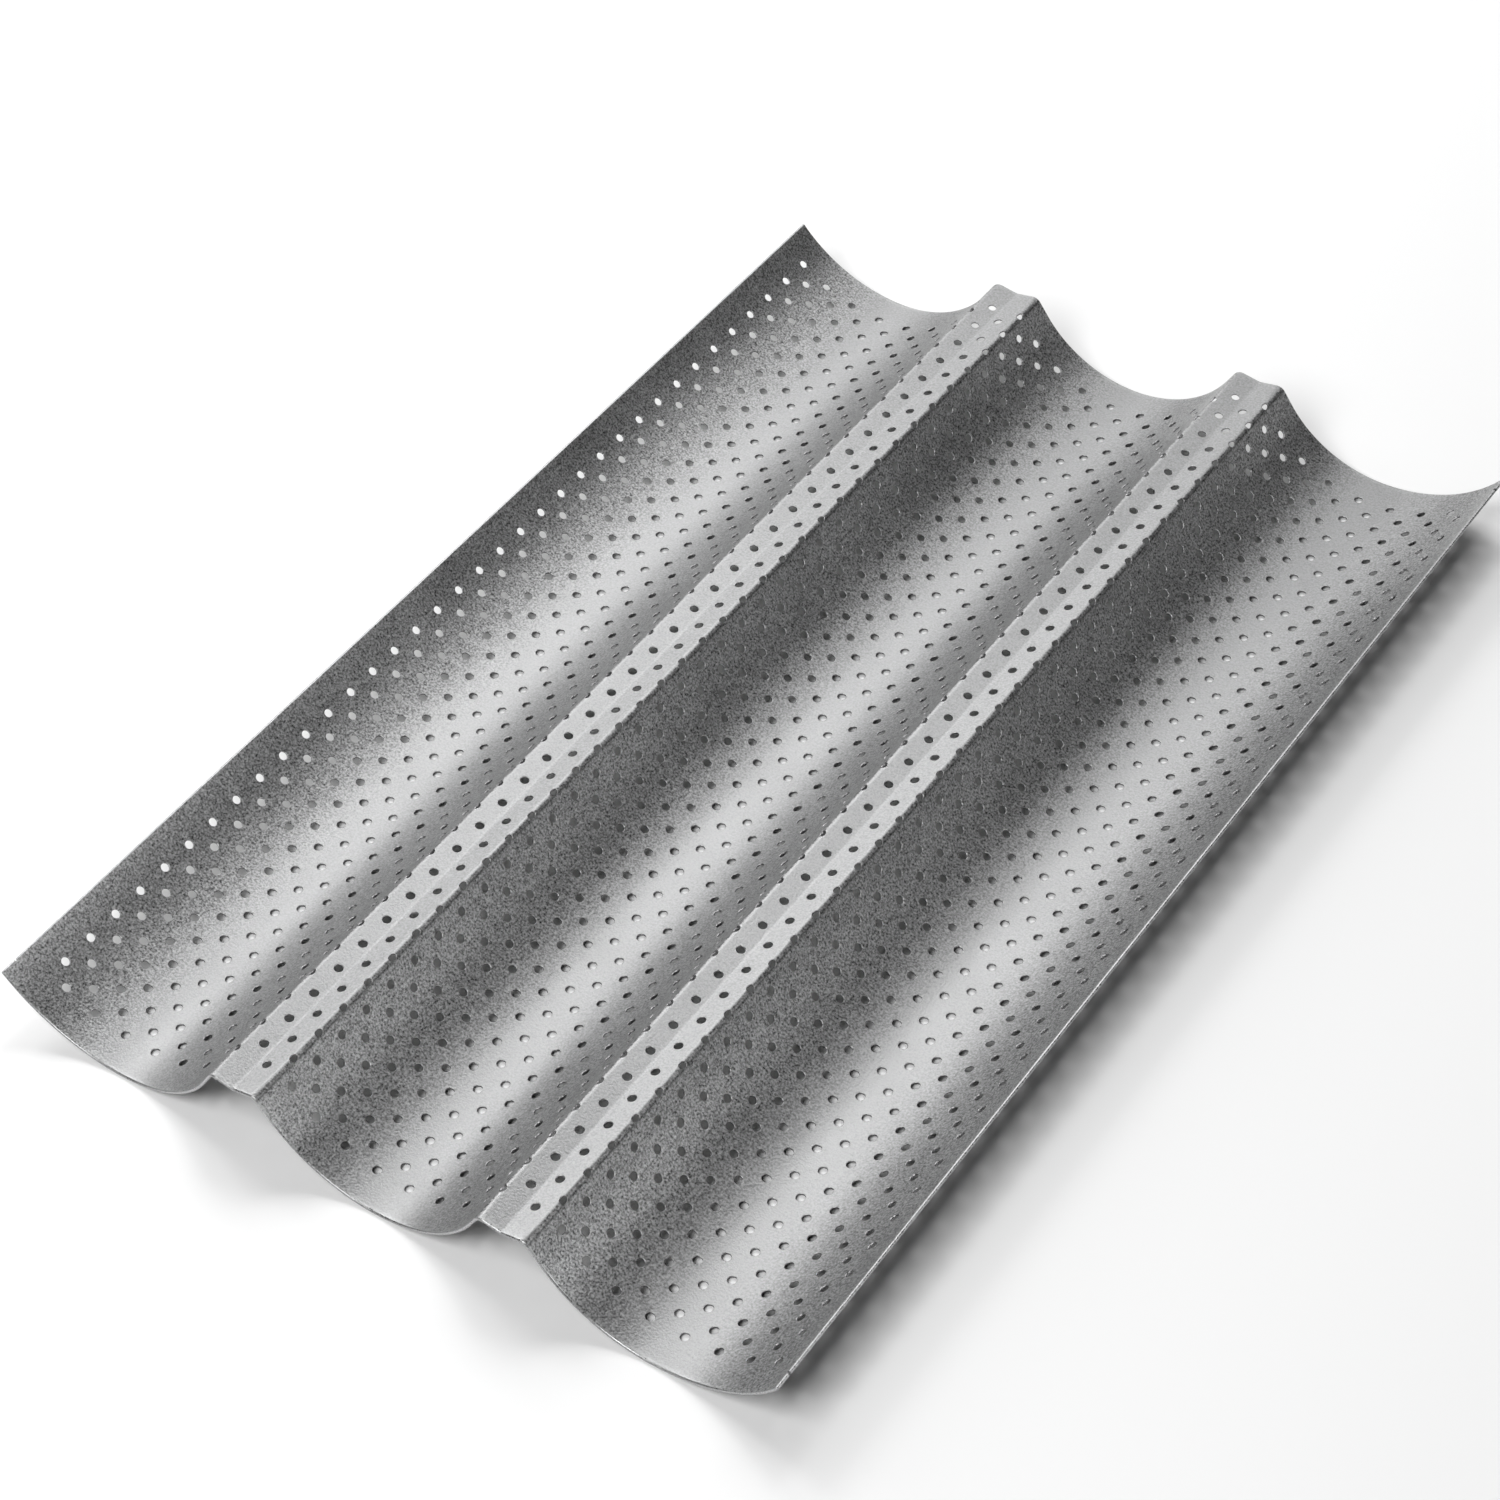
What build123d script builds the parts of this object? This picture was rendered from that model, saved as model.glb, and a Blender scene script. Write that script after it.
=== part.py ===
from build123d import *
import math
import os

# Perforated baguette tray: one pressed steel sheet with three troughs, two
# double-creased ridges and a closed hem folded under all four edges.
# X runs across the troughs, Y along them, Z up.  Millimetres.

# ---- driving dimensions ----
length = 380.0
sheet = 0.5
trough_radius = 38.0
flank_angle = 57.0
ridge_pitch = 86.0
crease_spacing = 15.0
groove_depth = 1.4
crease_radius = 1.6
groove_radius = 3.0
outer_radius = 48.0
outer_arc_length = 43.4
hem_width = 5.0
hem_notch = 0.8
nose_radius = 0.45
hole_diameter = 2.5
row_pitch = 10.1
rows = 36
columns_per_repeat = 20

# ---- layout of the upper surface, derived; the hems rest on z = 0 ----
low_z = 2 * sheet
flank = math.radians(flank_angle)
half_trough = (ridge_pitch - crease_spacing) / 2
trough_arc = trough_radius * flank
flank_length = (half_trough - trough_radius * math.sin(flank)) / math.cos(flank)
crease_z = low_z + trough_radius * (1 - math.cos(flank)) + flank_length * math.sin(flank)
face_slope = math.atan2(groove_depth, crease_spacing / 2)
face_length = math.hypot(groove_depth, crease_spacing / 2)
repeat = 2 * (trough_arc + flank_length + face_length)
column_pitch = repeat / columns_per_repeat
crease_distance = trough_arc + flank_length
split_run = 8 * column_pitch - trough_arc
outer_sweep = outer_arc_length / outer_radius
sheet_end = outer_sweep - sheet / outer_radius
hem_start = outer_sweep - hem_width / outer_radius
end_margin = (length - (rows - 0.5) * row_pitch) / 2


def trough_point(centre_x, angle):
    """A point of a trough's arc, angle in radians from its lowest line."""
    x = centre_x + trough_radius * math.sin(angle)
    return (x, low_z + trough_radius * (1 - math.cos(angle)))


def flank_point(centre_x, side, run):
    """A point of a flank, run up it from the end of the trough's arc."""
    x, z = trough_point(centre_x, side * flank)
    return (x + side * run * math.cos(flank), z + run * math.sin(flank))


def outer_point(side, angle, depth=0.0):
    """A point of an outer wall, depth below its upper surface."""
    radius = outer_radius + depth
    x = side * (ridge_pitch + radius * math.sin(angle))
    return (x, low_z + outer_radius - radius * math.cos(angle))


def repeat_profile(distance):
    """x, z and slope from a trough's lowest line up to the next groove."""
    if distance <= trough_arc:
        angle = distance / trough_radius
        return *trough_point(0, angle), angle
    if distance <= crease_distance - column_pitch / 2:
        return *flank_point(0, 1, distance - trough_arc), flank
    if distance <= crease_distance + column_pitch / 2:
        return half_trough, crease_z, (flank - face_slope) / 2
    run = distance - crease_distance
    x = half_trough + run * math.cos(face_slope)
    return x, crease_z - run * math.sin(face_slope), -face_slope


def surface_profile(distance):
    """x, z and slope of the upper surface at a distance right of the middle."""
    if distance <= repeat / 2:
        return repeat_profile(distance)
    if distance <= repeat:
        x, z, slope = repeat_profile(repeat - distance)
        return ridge_pitch - x, z, -slope
    angle = (distance - repeat) / outer_radius
    return *outer_point(1, angle), angle


def hole_plane(column, row):
    """The plane of one perforation, square to the sheet."""
    distance = (column + 0.5) * column_pitch
    side = math.copysign(1.0, distance)
    x, z, slope = surface_profile(abs(distance))
    stagger = row_pitch / 2 if column % 2 else 0.0
    y = end_margin - length / 2 + stagger + row * row_pitch
    normal = (-side * math.sin(slope), 0, math.cos(slope))
    return Plane(origin=(side * x, y, z), x_dir=(0, 1, 0), z_dir=normal)


def perforate(first, last):
    """Cut the columns of holes first..last through the part being built."""
    columns = range(first, last + 1)
    with Locations(*[hole_plane(c, r) for c in columns for r in range(rows)]):
        Cylinder(hole_diameter / 2, 6 * sheet, mode=Mode.SUBTRACT)


def ridge_line(side):
    """Upper line of a ridge: flank, crease, groove, crease, flank."""
    centre = side * ridge_pitch / 2
    far = side * ridge_pitch
    left = flank_point(min(0, far), 1, split_run)
    right = flank_point(max(0, far), -1, split_run)
    left_crease = (centre - crease_spacing / 2, crease_z)
    right_crease = (centre + crease_spacing / 2, crease_z)
    groove = (centre, crease_z - groove_depth)
    radii = [crease_radius, groove_radius, crease_radius]
    FilletPolyline(left, left_crease, groove, right_crease, right, radius=radii)


def trough_line():
    """Upper line of the middle trough: flank, arc, flank."""
    Line(flank_point(0, -1, split_run), trough_point(0, -flank))
    centre = (0, low_z + trough_radius)
    CenterArc(centre, trough_radius, 270 - flank_angle, 2 * flank_angle)
    Line(trough_point(0, flank), flank_point(0, 1, split_run))


def outer_line(side, end=sheet_end):
    """Upper line of an outer trough: flank, arc, and the flatter outer wall."""
    centre_x = side * ridge_pitch
    inner = -side * flank
    low = trough_point(centre_x, 0)
    Line(flank_point(centre_x, -side, split_run), trough_point(centre_x, inner))
    ThreePointArc(trough_point(centre_x, inner), trough_point(centre_x, inner / 2), low)
    ThreePointArc(low, outer_point(side, end / 2), outer_point(side, end))


def wave_line(end):
    """Upper line of the whole sheet, out to an angle of its outer walls."""
    outer_line(-1, end)
    ridge_line(-1)
    trough_line()
    ridge_line(1)
    outer_line(1, end)


def hem_section(side):
    """Section of a long side's hem: the layer under the wall and its rounded fold."""
    start = outer_point(side, hem_start, sheet)
    end = outer_point(side, sheet_end, sheet)
    tip = outer_point(side, outer_sweep, sheet)
    below_end = outer_point(side, sheet_end, 2 * sheet)
    below_start = outer_point(side, hem_start, 2 * sheet)
    middle = (hem_start + sheet_end) / 2
    ThreePointArc(start, outer_point(side, middle, sheet), end)
    Line(end, outer_point(side, sheet_end))
    ThreePointArc(outer_point(side, sheet_end), tip, below_end)
    ThreePointArc(below_end, outer_point(side, middle, 2 * sheet), below_start)
    Line(below_start, start)


def end_plane(y):
    """A cross-section plane that faces -Y."""
    return Plane.XZ.offset(-y)


half = length / 2
body_start = end_plane(half - sheet)
body_length = length - 2 * sheet
side_hem_half = half - hem_width - hem_notch

# ---- three troughs: the walls the loaves lie in ----
with BuildPart() as trough_left:
    with BuildSketch(body_start):
        with BuildLine():
            outer_line(-1)
            offset(amount=sheet, side=Side.LEFT)
        make_face()
    extrude(amount=body_length)
    perforate(-27, -13)

with BuildPart() as trough_middle:
    with BuildSketch(body_start):
        with BuildLine():
            trough_line()
            offset(amount=sheet, side=Side.RIGHT)
        make_face()
    extrude(amount=body_length)
    perforate(-8, 7)

with BuildPart() as trough_right:
    with BuildSketch(body_start):
        with BuildLine():
            outer_line(1)
            offset(amount=sheet, side=Side.RIGHT)
        make_face()
    extrude(amount=body_length)
    perforate(12, 26)

# ---- two ridges: a crease each side of a shallow groove ----
with BuildPart() as ridge_left:
    with BuildSketch(body_start):
        with BuildLine():
            ridge_line(-1)
            offset(amount=sheet, side=Side.RIGHT)
        make_face()
    extrude(amount=body_length)
    perforate(-12, -9)

with BuildPart() as ridge_right:
    with BuildSketch(body_start):
        with BuildLine():
            ridge_line(1)
            offset(amount=sheet, side=Side.RIGHT)
        make_face()
    extrude(amount=body_length)
    perforate(8, 11)

# ---- hems folded under the two wavy ends ----
with BuildPart() as hem_front:
    with BuildSketch(end_plane(sheet - half)):
        with BuildLine():
            wave_line(outer_sweep)
            offset(amount=2 * sheet, side=Side.LEFT)
        make_face()
    extrude(amount=sheet)
    fillet(edges().filter_by(Plane.XZ).group_by(Axis.Y)[0], nose_radius)
    with BuildSketch(end_plane(hem_width - half)):
        with BuildLine():
            wave_line(outer_sweep)
            offset(amount=2 * sheet, side=Side.LEFT)
        make_face()
        with BuildLine():
            wave_line(sheet_end)
            offset(amount=sheet, side=Side.LEFT)
        make_face(mode=Mode.SUBTRACT)
    extrude(amount=hem_width - sheet)

with BuildPart() as hem_back:
    mirror(hem_front.part, about=Plane.XZ)

# ---- hems folded under the two long edges, stopped short of the corners ----
with BuildPart() as hem_left:
    with BuildSketch(end_plane(side_hem_half)):
        with BuildLine():
            hem_section(-1)
        make_face()
    extrude(amount=2 * side_hem_half)

with BuildPart() as hem_right:
    with BuildSketch(end_plane(side_hem_half)):
        with BuildLine():
            hem_section(1)
        make_face()
    extrude(amount=2 * side_hem_half)

# ---- named nodes ----
nodes = {
    "trough_left": trough_left,
    "trough_middle": trough_middle,
    "trough_right": trough_right,
    "ridge_left": ridge_left,
    "ridge_right": ridge_right,
    "hem_front": hem_front,
    "hem_back": hem_back,
    "hem_left": hem_left,
    "hem_right": hem_right,
}

os.makedirs("parts", exist_ok=True)
for name, node in nodes.items():
    node.part.label = name
    export_step(node.part, "parts/" + name + ".step")
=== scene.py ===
"""Looks of a perforated three-loaf baguette tray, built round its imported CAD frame.

The tray is one pressed sheet.  Every visible piece is generated from the same
surface(distance, y), so neighbouring zones meet exactly, edge and normal alike.
Distance runs along the sheet's cross-section, from the tray's middle line.
Metres throughout.
"""

import math

import bpy
import numpy as np
from mathutils import Matrix, Vector


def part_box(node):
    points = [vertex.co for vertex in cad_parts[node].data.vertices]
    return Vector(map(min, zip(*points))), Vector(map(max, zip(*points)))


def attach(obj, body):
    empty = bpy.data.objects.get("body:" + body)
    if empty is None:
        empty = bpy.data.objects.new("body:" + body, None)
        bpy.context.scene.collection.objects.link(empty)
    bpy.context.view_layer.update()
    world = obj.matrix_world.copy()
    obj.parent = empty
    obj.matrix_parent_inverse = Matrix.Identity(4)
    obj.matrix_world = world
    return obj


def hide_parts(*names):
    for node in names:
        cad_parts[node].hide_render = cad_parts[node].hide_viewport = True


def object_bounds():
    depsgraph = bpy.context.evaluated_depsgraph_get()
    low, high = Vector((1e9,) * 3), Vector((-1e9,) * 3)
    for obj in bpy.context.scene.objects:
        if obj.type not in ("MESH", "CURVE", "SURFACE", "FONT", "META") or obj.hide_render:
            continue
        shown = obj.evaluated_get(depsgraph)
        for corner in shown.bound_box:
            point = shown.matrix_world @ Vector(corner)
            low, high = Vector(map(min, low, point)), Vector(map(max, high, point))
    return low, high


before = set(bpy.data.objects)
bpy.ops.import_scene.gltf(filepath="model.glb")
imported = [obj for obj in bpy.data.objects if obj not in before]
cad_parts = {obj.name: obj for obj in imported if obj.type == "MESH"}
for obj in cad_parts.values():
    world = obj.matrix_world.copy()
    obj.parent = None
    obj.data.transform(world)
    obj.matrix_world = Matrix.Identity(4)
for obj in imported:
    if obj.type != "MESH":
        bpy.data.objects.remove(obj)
cad_low, cad_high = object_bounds()

MM = 0.001

# ---- driving dimensions of the sheet ----
LENGTH = cad_high.y - cad_low.y
SHEET = 0.5 * MM
TROUGH_RADIUS = 38.0 * MM
FLANK = math.radians(57.0)
RIDGE_PITCH = sum(point.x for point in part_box("ridge_right"))  # twice its middle's x
CREASE_SPACING = 15.0 * MM
GROOVE_DEPTH = 1.4 * MM
CREASE_RADIUS = 1.6 * MM
CREASE_RADIUS_AT_ENDS = 3.0 * MM
SOFTENED_LENGTH = 9.0 * MM
GROOVE_RADIUS = 3.0 * MM
OUTER_RADIUS = 48.0 * MM
OUTER_ARC = 43.4 * MM
HEM_WIDTH = 5.0 * MM
HEM_NOTCH = 0.8 * MM
HEM_GAP = 0.03 * MM

# ---- perforations ----
HOLE_RADIUS = 1.25 * MM
HOLE_LIP = 0.17 * MM
LIP_DEPTH = 0.09 * MM
ROW_PITCH = 10.1 * MM
ROWS = 36
COLUMNS_PER_REPEAT = 20
COLUMNS_PER_SIDE = 27

# ---- rubbed places and painted light (crease highlight, dark reflection, shade in holes and underneath): strength, distance below a crease, reach ----
CREASE_RUB_AND_HIGHLIGHT, CREASE_RUB_AND_HIGHLIGHT_REACH = 0.3, 0.6 * MM
CREASE_DARK_REFLECTION, CREASE_DARK_REFLECTION_AT, CREASE_DARK_REFLECTION_REACH = 1.3, 1.2 * MM, 0.4 * MM
HEM_RUB_REACH = 0.5 * MM
LIP_RUB = 0.3
# painted shade: darkens the perforations' walls and the whole underside
HOLE_SHADE = 1.3
DARKEST = -1.3

# ---- coarseness of the grain ----
LEFT_WALL_RISE, LEFT_WALL_START = 2.2, 0.2
RIGHT_WALL_RISE, RIGHT_WALL_POWER = 1.2, 1.5
RIDGE_COARSENESS = 0.12

# ---- mesh density ----
BLOCK_ROWS = 5
TROUGH_STRIPS = 5
RIDGE_STRIPS = 10
MARGIN_STRIPS = 6
END_STRIPS = 8
NOSE_STEPS = 9
TIP_STEPS = 5
TIP_TURN = math.radians(80.0)
WELD = 0.001 * MM  # corners closer than this are one

# ---- layout, derived ----
HALF = LENGTH / 2
LOW_Z = 2 * SHEET
HALF_TROUGH = (RIDGE_PITCH - CREASE_SPACING) / 2
TROUGH_ARC = TROUGH_RADIUS * FLANK
FLANK_LENGTH = (HALF_TROUGH - TROUGH_RADIUS * math.sin(FLANK)) / math.cos(FLANK)
CREASE_Z = (
    LOW_Z + TROUGH_RADIUS * (1 - math.cos(FLANK)) + FLANK_LENGTH * math.sin(FLANK)
)
FACE_SLOPE = math.atan2(GROOVE_DEPTH, CREASE_SPACING / 2)
FACE_LENGTH = math.hypot(GROOVE_DEPTH, CREASE_SPACING / 2)
CREASE_AT = TROUGH_ARC + FLANK_LENGTH
GROOVE_AT = CREASE_AT + FACE_LENGTH
REPEAT = 2 * GROOVE_AT
COLUMN_PITCH = REPEAT / COLUMNS_PER_REPEAT
SHEET_END = REPEAT + OUTER_ARC - SHEET
FIRST_HOLE_Y = -(ROWS - 0.5) * ROW_PITCH / 2
BLOCK_STEP = ROW_PITCH / (2 * BLOCK_ROWS)


# ---------------------------------------------------------------- the surface
def corner(distance, at, point, before, after, radius):
    """x, z along a rounded corner between two straight runs."""
    half_turn = (before - after) / 2
    reach = radius * np.tan(np.abs(half_turn))
    side = np.sign(half_turn)
    slope = before + (after - before) * (distance - at + reach) / (2 * reach)
    start_x = point[0] - reach * math.cos(before)
    start_z = point[1] - reach * math.sin(before)
    x = start_x + side * radius * (math.sin(before) - np.sin(slope))
    z = start_z + side * radius * (np.cos(slope) - math.cos(before))
    return np.abs(distance - at) < reach, x, z


def half_repeat(distance, crease_radius):
    """x, z from a trough's lowest line (0) up to the next groove (GROOVE_AT)."""
    angle = np.minimum(distance / TROUGH_RADIUS, FLANK)
    run = np.clip(distance - TROUGH_ARC, 0, FLANK_LENGTH)
    face = np.maximum(distance - CREASE_AT, 0)
    x = TROUGH_RADIUS * np.sin(angle) + run * math.cos(FLANK)
    z = LOW_Z + TROUGH_RADIUS * (1 - np.cos(angle)) + run * math.sin(FLANK)
    x = x + face * math.cos(FACE_SLOPE)
    z = z - face * math.sin(FACE_SLOPE)
    crease = (HALF_TROUGH, CREASE_Z)
    groove = (RIDGE_PITCH / 2, CREASE_Z - GROOVE_DEPTH)
    for at, point, before, after, radius in (
        (CREASE_AT, crease, FLANK, -FACE_SLOPE, crease_radius),
        (GROOVE_AT, groove, -FACE_SLOPE, FACE_SLOPE, GROOVE_RADIUS),
    ):
        inside, corner_x, corner_z = corner(distance, at, point, before, after, radius)
        x = np.where(inside, corner_x, x)
        z = np.where(inside, corner_z, z)
    return x, z


def section(distance, crease_radius):
    """x, z of the upper surface at signed distances from the middle line."""
    side = np.where(distance < 0, -1.0, 1.0)
    run = np.abs(distance)
    near_x, near_z = half_repeat(np.minimum(run, GROOVE_AT), crease_radius)
    back = np.clip(REPEAT - run, 0, GROOVE_AT)
    far_x, far_z = half_repeat(back, crease_radius)
    angle = np.maximum(run - REPEAT, 0) / OUTER_RADIUS
    outer_x = RIDGE_PITCH + OUTER_RADIUS * np.sin(angle)
    outer_z = LOW_Z + OUTER_RADIUS * (1 - np.cos(angle))
    zones = [run <= GROOVE_AT, run <= REPEAT]
    x = np.select(zones, [near_x, RIDGE_PITCH - far_x], outer_x)
    z = np.select(zones, [near_z, far_z], outer_z)
    return side * x, z


def surface(distance, y):
    """Points of the sheet's upper surface; the creases soften near its ends."""
    near_end = np.clip(1 - (HALF - np.abs(y)) / SOFTENED_LENGTH, 0, 1)
    radius = CREASE_RADIUS + (CREASE_RADIUS_AT_ENDS - CREASE_RADIUS) * near_end**2
    x, z = section(distance, radius)
    return np.stack([x, y, z], axis=-1)


def unit(vectors):
    """The same directions, one unit long."""
    return vectors / np.linalg.norm(vectors, axis=-1, keepdims=True)


def surface_frame(distance, y):
    """Points, upward normals and the two tangents at given places."""
    step = 0.02 * MM
    across = unit(surface(distance + step, y) - surface(distance - step, y))
    along = unit(surface(distance, y + step) - surface(distance, y - step))
    return surface(distance, y), unit(np.cross(across, along)), across, along


def from_trough(distance):
    """Signed distance from the lowest line of the trough that a point is in."""
    return distance - REPEAT * np.clip(np.round(distance / REPEAT), -1, 1)


def bell(value, middle, reach):
    """1 at the middle, fading on both sides."""
    return np.exp(-(((value - middle) / reach) ** 2))


def edge_wear_and_painted_light(corners):
    """How far the coating is rubbed, and painted light, at given (distance, y, depth):
    1 on a worn edge, 0 on the open sheet, wear and a painted highlight along one
    side's creases; below 0 for a painted dark reflection below the other creases,
    and for painted shade inside a perforation and on the underside."""
    run, end, depth = np.abs(corners[:, 0]), np.abs(corners[:, 1]), corners[:, 2]
    local = from_trough(corners[:, 0])
    below_crease = CREASE_AT - np.abs(local)
    # painted highlight, partly crease wear: lighter along the creases, on one side of each
    # trough only
    crease = CREASE_RUB_AND_HIGHLIGHT * bell(below_crease, 0, CREASE_RUB_AND_HIGHLIGHT_REACH) * (local > 0)
    # painted dark reflection: a darker line just below the creases on the troughs' other
    # walls, not on the outer walls
    painted_dark_reflection = CREASE_DARK_REFLECTION * bell(below_crease, CREASE_DARK_REFLECTION_AT, CREASE_DARK_REFLECTION_REACH)
    painted_dark_reflection = painted_dark_reflection * ((local < 0) & (run < REPEAT))
    to_edge = np.minimum(HALF - end, SHEET_END + SHEET - run)
    hem = np.exp(-to_edge / HEM_RUB_REACH)
    past_lip = depth - LIP_DEPTH
    on_lip = LIP_RUB * (np.abs(past_lip) < LIP_DEPTH / 10)
    # painted shade inside each perforation and on the underside, away from the hems
    inside = HOLE_SHADE * (past_lip > LIP_DEPTH / 10) * (1 - hem)
    rub_and_highlight = np.maximum(np.maximum(crease, hem), on_lip)
    return np.clip(rub_and_highlight - painted_dark_reflection - inside, DARKEST, 1)


def wall_coarseness(corners):
    """How coarse the coating's grain is at given (distance, y, depth): 0 on level
    sheet, up to 1 on the walls, and sooner on a trough's left wall."""
    local = from_trough(corners[:, 0])
    steep = np.clip(np.abs(local) / TROUGH_ARC, 0, 1)
    left = LEFT_WALL_RISE * steep - LEFT_WALL_START
    right = RIGHT_WALL_RISE * steep**RIGHT_WALL_POWER
    coarse = np.clip(np.where(local < 0, left, right), 0, 1)
    on_ridge = np.abs(np.abs(corners[:, 0]) - GROOVE_AT) < GROOVE_AT - CREASE_AT
    return np.where(on_ridge, RIDGE_COARSENESS, coarse)


# ---------------------------------------------------------------- mesh maker
class Shell:
    """Collects faces whose corners are (distance, y, depth below the surface).

    Each corner's normal is a mix of the surface's normal, the direction across
    the sheet and the direction along it.  Faces are turned to agree with it.
    """

    def __init__(self):
        self.corners = []
        self.mixes = []

    def add(self, corners, mixes):
        """corners and mixes: arrays of shape (faces, 4, 3)."""
        self.corners.append(corners.reshape(-1, 4, 3))
        self.mixes.append(np.broadcast_to(mixes, corners.shape).reshape(-1, 4, 3))

    def grid(self, lines_d, lines_y, depth, up):
        """A patch of quads on the upper or lower face."""
        d, y = np.meshgrid(lines_d, lines_y, indexing="ij")
        points = np.stack([d, y, np.full_like(d, depth)], axis=-1)
        self.lattice(points, np.array([1.0 if up else -1.0, 0, 0]))

    def lattice(self, points, mixes):
        """Quads between the rows and columns of an array of points."""
        mixes = np.broadcast_to(mixes, points.shape)
        quads = [
            np.stack([a[:-1, :-1], a[1:, :-1], a[1:, 1:], a[:-1, 1:]], axis=2)
            for a in (points, mixes)
        ]
        self.add(*quads)

    def wall(self, points, mix):
        """A strip between depth 0 and the sheet's thickness along points."""
        path = np.asarray(points, float)
        top = np.column_stack([path, np.zeros(len(path))])
        low = np.column_stack([path, np.full(len(path), SHEET)])
        quads = np.stack([top[:-1], low[:-1], low[1:], top[1:]], axis=1)
        self.add(quads, np.array(mix, float))

    def build(self, name):
        """Weld the corners and make the Blender mesh object."""
        corners = np.concatenate(self.corners).reshape(-1, 3)
        mixes = np.concatenate(self.mixes).reshape(-1, 3)
        keys = np.round(corners / WELD).astype(np.int64)
        _, first, index = np.unique(keys, axis=0, return_index=True, return_inverse=True)
        index = index.reshape(-1)
        point, normal, across, along = surface_frame(
            corners[first, 0], corners[first, 1]
        )
        place = point - normal * corners[first, 2:3]
        normals = unit(
            normal[index] * mixes[:, 0:1]
            + across[index] * mixes[:, 1:2]
            + along[index] * mixes[:, 2:3]
        ).reshape(-1, 4, 3)
        faces = index.reshape(-1, 4)
        spot = place[faces]
        facing = np.cross(spot[:, 2] - spot[:, 0], spot[:, 3] - spot[:, 1])
        inside_out = (facing * normals.mean(axis=1)).sum(axis=1) < 0
        faces[inside_out] = faces[inside_out, ::-1]
        normals[inside_out] = normals[inside_out, ::-1]
        mesh = bpy.data.meshes.new(name)
        mesh.from_pydata(place.tolist(), [], faces.tolist())
        mesh.polygons.foreach_set("use_smooth", np.ones(len(mesh.polygons), bool))
        mesh.normals_split_custom_set(normals.reshape(-1, 3).tolist())
        # the wear attribute holds real wear together with painted highlight, painted dark
        # reflection and painted shade
        for kind, measure in (("wear_and_painted_light", edge_wear_and_painted_light), ("coarseness", wall_coarseness)):
            values = measure(corners[first]).astype(np.float32)
            mesh.attributes.new(kind, "FLOAT", "POINT").data.foreach_set("value", values)
        obj = bpy.data.objects.new(name, mesh)
        bpy.context.scene.collection.objects.link(obj)
        return obj


def square_border(width, height, strips, rows):
    """Points round a rectangle, anticlockwise from its lower left corner, and
    the angle of each one's partner on the hole inside it: a quarter turn a side."""
    a, b = width / 2, height / 2
    across = np.linspace(0, 1, strips, endpoint=False)
    along = np.linspace(0, 1, rows, endpoint=False)
    sides = [
        (-a + 2 * a * across, np.full(strips, -b), across),
        (np.full(rows, a), -b + 2 * b * along, along + 1),
        (a - 2 * a * across, np.full(strips, b), across + 2),
        (np.full(rows, -a), b - 2 * b * along, along + 3),
    ]
    u, v, quarter = (np.concatenate(parts) for parts in zip(*sides))
    return u, v, (quarter - 1.5) * math.pi / 2


def hole_block(strips, rings):
    """Quads round one perforation: face, rolled lip, wall and underside.
    Returns corners (distance and y from its middle, depth) and normal mixes."""
    u, v, angle = square_border(COLUMN_PITCH, ROW_PITCH / 2, strips, BLOCK_ROWS)
    out_d, out_y = np.cos(angle), np.sin(angle)

    def ring(radius, depth, share=0.0):
        """A circle, or a share of the way from it to the border."""
        d = radius * out_d * (1 - share) + u * share
        y = radius * out_y * (1 - share) + v * share
        return np.column_stack([d, y, np.full(len(d), depth)])

    def mix(up, outward):
        """Normals that lean away from the hole's middle by outward."""
        return np.column_stack([np.full(len(u), up), outward * out_d, outward * out_y])

    corners, mixes = [], []

    def band(inner, outer, inner_mix, outer_mix):
        """Quads between two rings of points."""
        for target, a, b in ((corners, inner, outer), (mixes, inner_mix, outer_mix)):
            target.append(
                np.stack([a, b, np.roll(b, -1, axis=0), np.roll(a, -1, axis=0)], axis=1)
            )

    face, rolled, inward, under = mix(1, 0), mix(1, -1), mix(0, -1), mix(-1, 0)
    lip = HOLE_RADIUS + HOLE_LIP
    band(ring(HOLE_RADIUS, LIP_DEPTH), ring(lip, 0), rolled, face)
    shares = np.linspace(0, 1, rings + 1)
    for low, high in zip(shares[:-1], shares[1:]):
        band(ring(lip, 0, low), ring(lip, 0, high), face, face)
        band(ring(HOLE_RADIUS, SHEET, high), ring(HOLE_RADIUS, SHEET, low), under, under)
    band(ring(HOLE_RADIUS, SHEET), ring(HOLE_RADIUS, LIP_DEPTH), inward, rolled)
    return np.concatenate(corners), np.concatenate(mixes)


# ---------------------------------------------------------------- y divisions
FIRST_LINE = FIRST_HOLE_Y - ROW_PITCH / 4
INNER_LINES = FIRST_LINE + BLOCK_STEP * np.arange(2 * BLOCK_ROWS * ROWS + 1)
END_RUN = np.linspace(SHEET - HALF, FIRST_LINE, END_STRIPS, endpoint=False)
Y_LINES = np.concatenate([END_RUN, INNER_LINES, -END_RUN[::-1]])


def column_lines(column, strips):
    """The distances of the mesh lines across one column of perforations."""
    return np.linspace(column, column + 1, strips + 1) * COLUMN_PITCH


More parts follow.
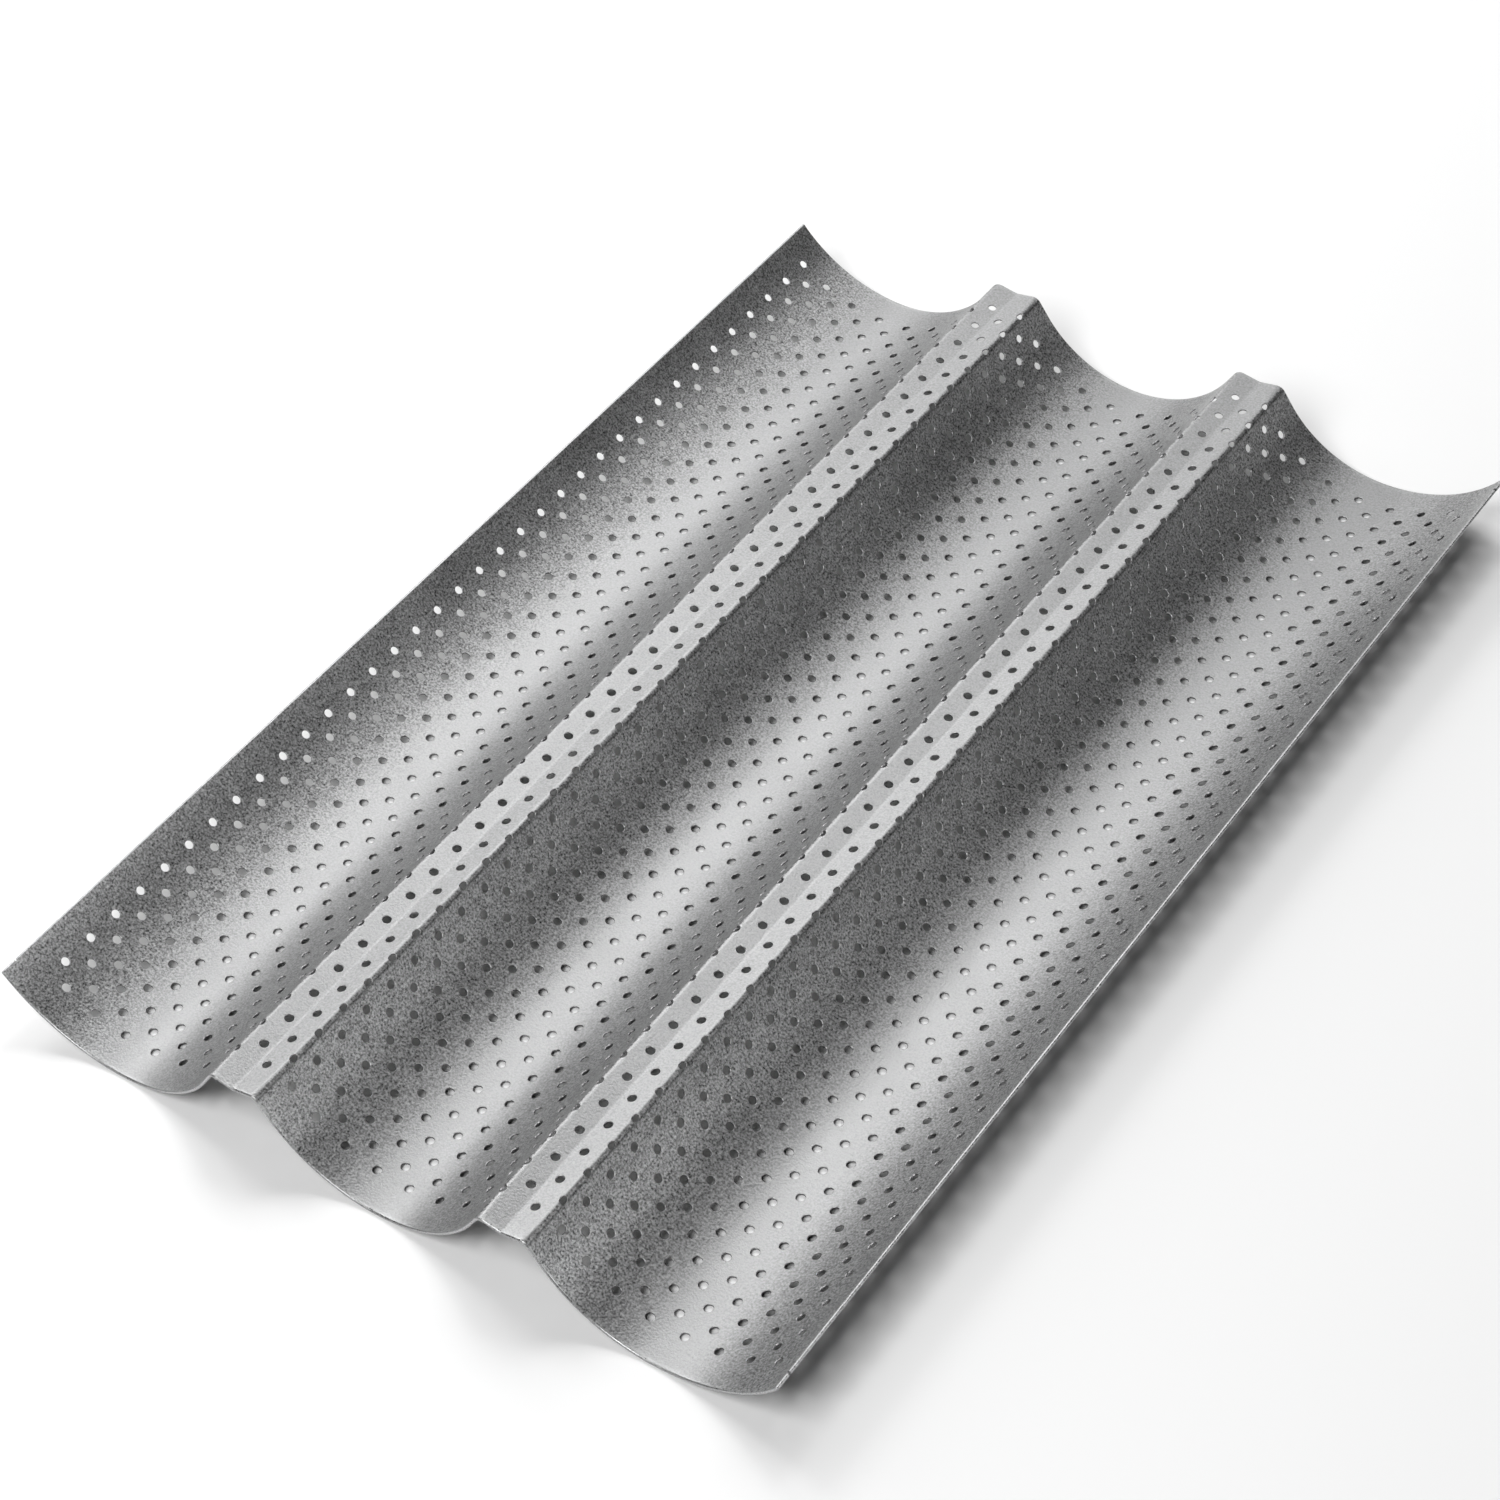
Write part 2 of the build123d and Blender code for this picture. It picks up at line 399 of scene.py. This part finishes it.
def add_column(shell, column, strips, rings):
    """One column of perforations and the plain sheet between them.  Every second
    column is shifted by half a row."""
    lines = column_lines(column, strips)
    shift = BLOCK_ROWS if column % 2 else 0
    blocks = END_STRIPS + shift + 2 * BLOCK_ROWS * np.arange(ROWS)
    corners, mixes = hole_block(strips, rings)
    for start in blocks:
        centre_y = (Y_LINES[start] + Y_LINES[start + BLOCK_ROWS]) / 2
        centre = np.array([(column + 0.5) * COLUMN_PITCH, centre_y, 0.0])
        shell.add(corners + centre, mixes)
    starts = [0, *(blocks + BLOCK_ROWS)]
    ends = [*blocks, len(Y_LINES) - 1]
    for start, end in zip(starts, ends):
        rows = Y_LINES[start : end + 1]
        shell.grid(lines, rows, 0.0, True)
        shell.grid(lines, rows, SHEET, False)


def zone_lines(first, last, strips):
    """The distances of all mesh lines from one column to another."""
    parts = [column_lines(c, strips)[:-1] for c in range(first, last + 1)]
    return np.concatenate([*parts, [(last + 1) * COLUMN_PITCH]])


def margin_lines(side):
    """The plain margin between the last column and the sheet's edge."""
    last = COLUMNS_PER_SIDE * COLUMN_PITCH
    lines = np.linspace(last, SHEET_END, MARGIN_STRIPS + 1)
    return lines if side > 0 else -lines[::-1]


def sheet_zone(name, first, last, strips, rings, margin):
    """A zone of the pressed sheet, closed on all sides."""
    shell = Shell()
    for column in range(first, last + 1):
        add_column(shell, column, strips, rings)
    lines = zone_lines(first, last, strips)
    if margin:
        extra = margin_lines(margin)
        shell.grid(extra, Y_LINES, 0.0, True)
        shell.grid(extra, Y_LINES, SHEET, False)
        lines = np.unique(np.concatenate([lines, extra]).round(9))
    for y, sign in ((Y_LINES[0], -1), (Y_LINES[-1], 1)):
        path = np.column_stack([lines, np.full(len(lines), y)])
        shell.wall(path, (0, 0, sign))
    for d, sign in ((lines[0], -1), (lines[-1], 1)):
        path = np.column_stack([np.full(len(Y_LINES), d), Y_LINES])
        shell.wall(path, (0, sign, 0))
    return shell.build(name)


# ---------------------------------------------------------------- folded hems
def hem_runs():
    """The hem's section as smooth runs of (inward, depth, up, outward): the
    rounded fold, the layer under the sheet, its cut edge and its inner faces."""
    turn = np.linspace(0, math.pi, NOSE_STEPS + 1)
    fold = np.column_stack(
        [
            -SHEET * np.sin(turn),
            SHEET * (1 - np.cos(turn)),
            np.cos(turn),
            np.sin(turn),
        ]
    )
    reach, top, low = HEM_WIDTH - SHEET, SHEET + HEM_GAP, 2 * SHEET
    flat = [
        ([0, low, -1, 0], [reach, low, -1, 0]),
        ([reach, low, 0, -1], [reach, top, 0, -1]),
        ([reach, top, 1, 0], [0, top, 1, 0]),
        ([0, top, 0, -1], [0, 0, 0, -1]),
    ]
    return [fold, *(np.array(run, float) for run in flat)]


def hem(name, side, lines, is_end):
    """A hem along a wavy end (is_end) or along a long side of the sheet."""
    shell = Shell()
    edge = HALF - SHEET if is_end else SHEET_END
    count = len(lines)

    def place(inward, depth, line):
        """Corners from the hem's own section and a line along it."""
        across_edge = side * (edge - inward)
        d, y = (line, across_edge) if is_end else (across_edge, line)
        return np.stack(np.broadcast_arrays(d, y, depth), axis=-1)

    def mix(up, outward):
        """Normals from the hem's own section."""
        none = np.zeros_like(outward)
        parts = (up, none, side * outward) if is_end else (up, side * outward, none)
        return np.stack(parts, axis=-1)

    for run in hem_runs():
        inward, depth, up, outward = (run[:, k : k + 1] for k in range(4))
        points = place(inward, depth, lines[None, :])
        mixes = np.repeat(mix(up, outward), count, axis=1)
        shell.lattice(points, mixes)
    for line, sign in ((lines[0], -1.0), (lines[-1], 1.0)):
        if is_end:
            end_tip(shell, side, line, sign)
        else:
            cap(shell, place, line, sign)
    return shell.build(name)


def cap(shell, place, line, sign):
    """Close a side hem's end: half of the round fold, then the layer."""
    fold = hem_runs()[0]
    half = len(fold) // 2
    top = np.array([[0, SHEET + HEM_GAP], [HEM_WIDTH - SHEET, SHEET + HEM_GAP]])
    low = np.array([[0, 2 * SHEET], [HEM_WIDTH - SHEET, 2 * SHEET]])
    facing = np.array([0, 0, sign])
    for a, b in ((fold[:half, :2], fold[::-1][:half, :2]), (top, low)):
        rows = np.stack([a, b])
        shell.lattice(place(rows[..., 0], rows[..., 1], line), facing)


TIP_ANGLES = np.linspace(0, TIP_TURN, TIP_STEPS + 1)


def tip_point(inward, depth, side, line, sign):
    """Where a point of the end hem's section goes as the tip closes round it, for
    each of the tip's angles."""
    shrink, out = np.cos(TIP_ANGLES), np.sin(TIP_ANGLES)
    y = side * (HALF - SHEET - np.where(inward < 0, inward * shrink, inward))
    z = SHEET + (depth - SHEET) * shrink
    d = line + sign * SHEET * out
    return np.stack(np.broadcast_arrays(d, y, z), axis=-1)


def end_tip(shell, side, line, sign):
    """Round off an end hem's corner, out to the tray's long edge."""
    reach, top, low = HEM_WIDTH - SHEET, SHEET + HEM_GAP, 2 * SHEET
    shrink, out = np.cos(TIP_ANGLES), np.sin(TIP_ANGLES)
    fold, under, cut_edge = hem_runs()[:3]
    filled_gap = np.array([[reach, top, 0, -1], [reach, 0, 0, -1]])
    upper = np.array([[reach, 0, 1, 0], [0, 0, 1, 0]])
    for run in (fold, under, cut_edge, filled_gap, upper):
        inward, depth, up, outward = (run[:, k : k + 1] for k in range(4))
        rounded = sign * out * (outward >= 0)
        parts = np.broadcast_arrays(up * shrink, rounded, side * outward * shrink)
        points = tip_point(inward, depth, side, line, sign)
        shell.lattice(points, np.stack(parts, axis=-1))
    half = len(fold) // 2
    nose = np.stack([fold[:half, :2], fold[::-1][:half, :2]])
    body = np.array([[[0, 0], [reach, 0]], [[0, low], [reach, low]]])
    for rows in (nose, body):
        closed = tip_point(rows[..., 0:1], rows[..., 1:2], side, line, sign)[:, :, -1]
        shell.lattice(closed, np.array([0, sign, 0]))
    inner = np.array([[[0, 0], [reach, 0]], [[0, top], [reach, top]]])
    y = side * (HALF - SHEET - inner[..., 0])
    wall = np.stack(np.broadcast_arrays(line, y, inner[..., 1]), axis=-1)
    shell.lattice(wall, np.array([0, -sign, 0]))


# ---------------------------------------------------------------- materials
def node(tree, kind, **values):
    """Add a shader node and set its sockets and properties by name."""
    made = tree.nodes.new(kind)
    for key, value in values.items():
        if key in made.inputs:
            made.inputs[key].default_value = value
        else:
            setattr(made, key, value)
    return made


def math_node(tree, operation, a, b):
    """Combine two values, each a number or another node's output."""
    made = tree.nodes.new("ShaderNodeMath")
    made.operation = operation
    for socket, value in zip(made.inputs, (a, b)):
        if isinstance(value, (int, float)):
            socket.default_value = value
        else:
            tree.links.new(value, socket)
    return made.outputs[0]


def noise(tree, coordinates, scale, detail, roughness=0.5):
    """A noise texture's value."""
    made = node(tree, "ShaderNodeTexNoise", Scale=scale, Detail=detail)
    made.inputs["Roughness"].default_value = roughness
    tree.links.new(coordinates, made.inputs["Vector"])
    return made.outputs[0]


NOISE_LOW, NOISE_HIGH = 0.3, 0.7  # what a noise texture mostly stays between


def spread(tree, value, low, high):
    """Stretch a noise texture's value to low..high."""
    made = node(tree, "ShaderNodeMapRange")
    tree.links.new(value, made.inputs["Value"])
    made.inputs["From Min"].default_value = NOISE_LOW
    made.inputs["From Max"].default_value = NOISE_HIGH
    made.inputs["To Min"].default_value = low
    made.inputs["To Max"].default_value = high
    return made.outputs[0]


GRAIN_SCALE, MOTTLE_SCALE = 1600.0, 38.0  # noise features per metre
MOTTLE_TONE = 0.04
GRAIN_ROUGHNESS, MOTTLE_ROUGHNESS, WEAR_ROUGHNESS = 0.07, 0.03, 0.08
GRAIN_HEIGHT = 0.08 * MM
BLACKEST = 0.02
TINT = (0.995, 1.0, 1.005)
METALLIC = 0.85


def coating_colour(tree, fine, mottle, wear_and_painted_light, coarseness, look):
    """Grey by wear and painted light (lighter where rubbed and at the painted crease
    highlight, darker at the painted dark reflection and painted shade), speckled by the
    grain and softly mottled.
    """
    grey, worn_grey, grain, coarse_grain = look
    amount = math_node(tree, "MULTIPLY", coarseness, coarse_grain - grain)
    amount = math_node(tree, "ADD", amount, grain)
    speck = math_node(tree, "SUBTRACT", fine, 0.5)
    tone = math_node(tree, "ADD", math_node(tree, "MULTIPLY", speck, amount), 1.0)
    blotch = spread(tree, mottle, 1 - MOTTLE_TONE, 1 + MOTTLE_TONE)
    tone = math_node(tree, "MULTIPLY", tone, blotch)
    # lighter where rubbed and on the painted crease highlight; darker on the painted dark
    # reflection, in the holes and underneath, where shade is painted
    base = math_node(tree, "MULTIPLY", wear_and_painted_light, worn_grey - grey)
    base = math_node(tree, "ADD", base, grey)
    value = math_node(tree, "MULTIPLY", base, tone)
    value = math_node(tree, "MAXIMUM", value, BLACKEST)
    colour = tree.nodes.new("ShaderNodeCombineColor")
    for socket, share in zip(colour.inputs, TINT):
        tree.links.new(math_node(tree, "MULTIPLY", value, share), socket)
    return colour.outputs[0]


def coating_roughness(tree, fine, mottle, wear_and_painted_light, roughness):
    """Varied by grain and mottle, and polished by wear; the painted light in the same
    attribute shifts it as well.
    """
    by_grain = spread(tree, fine, roughness - GRAIN_ROUGHNESS, roughness + GRAIN_ROUGHNESS)
    by_mottle = spread(tree, mottle, -MOTTLE_ROUGHNESS, MOTTLE_ROUGHNESS)
    rough = math_node(tree, "ADD", by_grain, by_mottle)
    polish = math_node(tree, "MULTIPLY", wear_and_painted_light, WEAR_ROUGHNESS)
    return math_node(tree, "SUBTRACT", rough, polish)


def coating(name, grey, worn_grey, grain, coarse_grain, roughness):
    """Satin non-stick coating: fine metallic grain, faint mottling, worn edges, and painted
    light: a crease highlight, a dark reflection and shade in holes and underneath.
    """
    material = bpy.data.materials.new(name)
    material.use_nodes = True
    tree = material.node_tree
    shader = tree.nodes["Principled BSDF"]
    coordinates = tree.nodes.new("ShaderNodeTexCoord").outputs["Object"]
    fine = noise(tree, coordinates, GRAIN_SCALE, detail=2.0, roughness=0.6)
    mottle = noise(tree, coordinates, MOTTLE_SCALE, detail=3.0)
    wear_and_painted_light, coarseness = (
        node(tree, "ShaderNodeAttribute", attribute_name=kind).outputs["Fac"]
        for kind in ("wear_and_painted_light", "coarseness")
    )
    look = (grey, worn_grey, grain, coarse_grain)
    colour = coating_colour(tree, fine, mottle, wear_and_painted_light, coarseness, look)
    tree.links.new(colour, shader.inputs["Base Color"])
    rough = coating_roughness(tree, fine, mottle, wear_and_painted_light, roughness)
    tree.links.new(rough, shader.inputs["Roughness"])
    bump = node(tree, "ShaderNodeBump", Strength=1.0, Distance=GRAIN_HEIGHT)
    tree.links.new(fine, bump.inputs["Height"])
    tree.links.new(bump.outputs["Normal"], shader.inputs["Normal"])
    shader.inputs["Metallic"].default_value = METALLIC
    return material


FINISH = {
    "nonstick_steel": coating(
        "nonstick_steel",
        grey=0.28,
        worn_grey=0.42,
        grain=0.7,
        coarse_grain=4.0,
        roughness=0.40,
    ),
    "hem_steel": coating(
        "hem_steel",
        grey=0.30,
        worn_grey=0.44,
        grain=0.5,
        coarse_grain=1.0,
        roughness=0.36,
    ),
}


# ---------------------------------------------------------------- the pieces
def dress(piece, node_name, slot_name):
    """Give a piece its material in a slot, hide the CAD node that it stands for, and attach
    it to its body.
    """
    piece.data.materials.append(FINISH[slot_name])
    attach(piece, "root")
    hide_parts(node_name)


# Each zone's first and last column, mesh strips across a column, rings round a hole,
# and the side on which the plain margin follows it, or 0.
ZONES = {
    "trough_left": (-27, -13, TROUGH_STRIPS, 1, -1),
    "ridge_left": (-12, -9, RIDGE_STRIPS, 3, 0),
    "trough_middle": (-8, 7, TROUGH_STRIPS, 1, 0),
    "ridge_right": (8, 11, RIDGE_STRIPS, 3, 0),
    "trough_right": (12, 26, TROUGH_STRIPS, 1, 1),
}
for node_name, zone in ZONES.items():
    dress(sheet_zone(node_name + "_sheet", *zone), node_name, "nonstick_steel")

ALL_COLUMNS = [zone_lines(first, last, strips) for first, last, strips, *_ in ZONES.values()]
SHEET_LINES = np.unique(
    np.concatenate([margin_lines(-1), *ALL_COLUMNS, margin_lines(1)]).round(8)
)
SIDE_HALF = HALF - HEM_WIDTH - HEM_NOTCH
BETWEEN_NOTCHES = np.abs(Y_LINES) < SIDE_HALF - BLOCK_STEP / 4
SIDE_LINES = np.concatenate([[-SIDE_HALF], Y_LINES[BETWEEN_NOTCHES], [SIDE_HALF]])
for node_name, side, lines, is_end in (
    ("hem_front", -1, SHEET_LINES, True),
    ("hem_back", 1, SHEET_LINES, True),
    ("hem_left", -1, SIDE_LINES, False),
    ("hem_right", 1, SIDE_LINES, False),
):
    dress(hem(node_name + "_fold", side, lines, is_end), node_name, "hem_steel")


# ---------------------------------------------------------------- the studio
FLOOR_HALF = 3.0
GLOW_FROM, GLOW_TO = 0.4, 1.0  # metres from the tray's middle


def floor():
    """A white floor.  Away from the tray it glows for the camera alone, so that low
    views have no dark horizon; the glow lights nothing."""
    mesh = bpy.data.meshes.new("studio_floor")
    quarters = ((-1, -1), (1, -1), (1, 1), (-1, 1))
    ring = [(x * FLOOR_HALF, y * FLOOR_HALF, 0) for x, y in quarters]
    mesh.from_pydata(ring, [], [(0, 1, 2, 3)])
    material = bpy.data.materials.new("studio_white")
    material.use_nodes = True
    tree = material.node_tree
    shader = tree.nodes["Principled BSDF"]
    shader.inputs["Base Color"].default_value = (0.95, 0.95, 0.95, 1)
    shader.inputs["Roughness"].default_value = 0.9
    shader.inputs["Specular IOR Level"].default_value = 0.2
    place = tree.nodes.new("ShaderNodeTexCoord").outputs["Object"]
    away = node(tree, "ShaderNodeVectorMath", operation="LENGTH")
    tree.links.new(place, away.inputs[0])
    far = node(tree, "ShaderNodeMapRange", interpolation_type="SMOOTHSTEP")
    tree.links.new(away.outputs["Value"], far.inputs["Value"])
    far.inputs["From Min"].default_value = GLOW_FROM
    far.inputs["From Max"].default_value = GLOW_TO
    seen = tree.nodes.new("ShaderNodeLightPath").outputs["Is Camera Ray"]
    glow = math_node(tree, "MULTIPLY", far.outputs[0], seen)
    shader.inputs["Emission Color"].default_value = (1, 1, 1, 1)
    tree.links.new(glow, shader.inputs["Emission Strength"])
    mesh.materials.append(material)
    obj = bpy.data.objects.new("studio_floor", mesh)
    bpy.context.scene.collection.objects.link(obj)
    return obj


def area_light(name, place, side, power):
    """A square soft box that faces the tray."""
    light = bpy.data.lights.new(name, "AREA")
    light.energy = power
    light.shape = "SQUARE"
    light.size = side
    obj = bpy.data.objects.new(name, light)
    obj.location = place
    obj.rotation_euler = (-place).to_track_quat("-Z", "Y").to_euler()
    bpy.context.scene.collection.objects.link(obj)
    return obj


# Soft boxes on a dome round the tray: compass heading, elevation, side, power in W.
SOFT_BOXES = {
    "back": (0, 50, 0.8, 3.8),
    "front": (180, 50, 0.8, 13.6),
    "side_left": (270, 22, 0.8, 3.0),
    "rim_left": (285, 45, 0.35, 3.2),
    "rim_back_left": (315, 22, 0.8, 3.0),
    "key_back_left": (315, 50, 0.8, 4.0),
    "spot_back_left": (315, 40, 0.35, 1.0),
    "spot_high": (330, 60, 0.35, 1.8),
    "fill_right": (90, 22, 0.8, 6.6),
    "fill_right_high": (90, 50, 0.8, 0.8),
}
FLAGGED = ("fill_right", "fill_right_high")  # boxes kept off the floor
DOME_RADIUS = 1.4


def studio(unlit):
    """Soft boxes, some of them flagged off the unlit object as on a real set, and
    surroundings that are white to the camera and light nothing."""
    flag = bpy.data.collections.new("flagged")
    flag.objects.link(unlit)
    flag.collection_objects[0].light_linking.link_state = "EXCLUDE"
    world = bpy.data.worlds.new("studio_world")
    world.use_nodes = True
    background = world.node_tree.nodes["Background"]
    seen = world.node_tree.nodes.new("ShaderNodeLightPath").outputs["Is Camera Ray"]
    background.inputs["Color"].default_value = (1, 1, 1, 1)
    world.node_tree.links.new(seen, background.inputs["Strength"])
    bpy.context.scene.world = world
    for name, (heading, elevation, side, power) in SOFT_BOXES.items():
        a, e = math.radians(heading), math.radians(elevation)
        direction = (math.sin(a) * math.cos(e), math.cos(a) * math.cos(e), math.sin(e))
        box = area_light(name, Vector(direction) * DOME_RADIUS, side, power)
        if name in FLAGGED:
            box.light_linking.receiver_collection = flag


# Where the product shot is taken from, round the tray's middle.
CAMERA_AZIMUTH, CAMERA_ELEVATION, CAMERA_ROLL = (
    math.radians(degrees) for degrees in (37.76, 44.70, -4.56)
)
CAMERA_DISTANCE, CAMERA_SHIFT_RIGHT, CAMERA_SHIFT_UP = 1.01311, -0.0128, 0.00242
LENS_MM, SENSOR_MM = 86.08, 36.0


def camera():
    """The product shot's camera: its direction, roll and sideways shifts."""
    azimuth, elevation, roll = CAMERA_AZIMUTH, CAMERA_ELEVATION, CAMERA_ROLL
    back = Vector(
        (
            math.sin(azimuth) * math.cos(elevation),
            -math.cos(azimuth) * math.cos(elevation),
            math.sin(elevation),
        )
    )
    level_right = Vector((math.cos(azimuth), math.sin(azimuth), 0))
    level_up = back.cross(level_right)
    right = math.cos(roll) * level_right + math.sin(roll) * level_up
    up = math.cos(roll) * level_up - math.sin(roll) * level_right
    data = bpy.data.cameras.new("camera")
    data.lens = LENS_MM
    data.sensor_width = SENSOR_MM
    obj = bpy.data.objects.new("camera", data)
    turn = Matrix((right, up, back)).transposed().to_4x4()
    target = Vector((0, 0, LOW_Z))
    aside = right * CAMERA_SHIFT_RIGHT
    place = target + back * CAMERA_DISTANCE + aside + up * CAMERA_SHIFT_UP
    obj.matrix_world = Matrix.Translation(place) @ turn
    bpy.context.scene.collection.objects.link(obj)
    bpy.context.scene.camera = obj


studio(floor())
camera()
bpy.context.scene.view_settings.view_transform = "Standard"
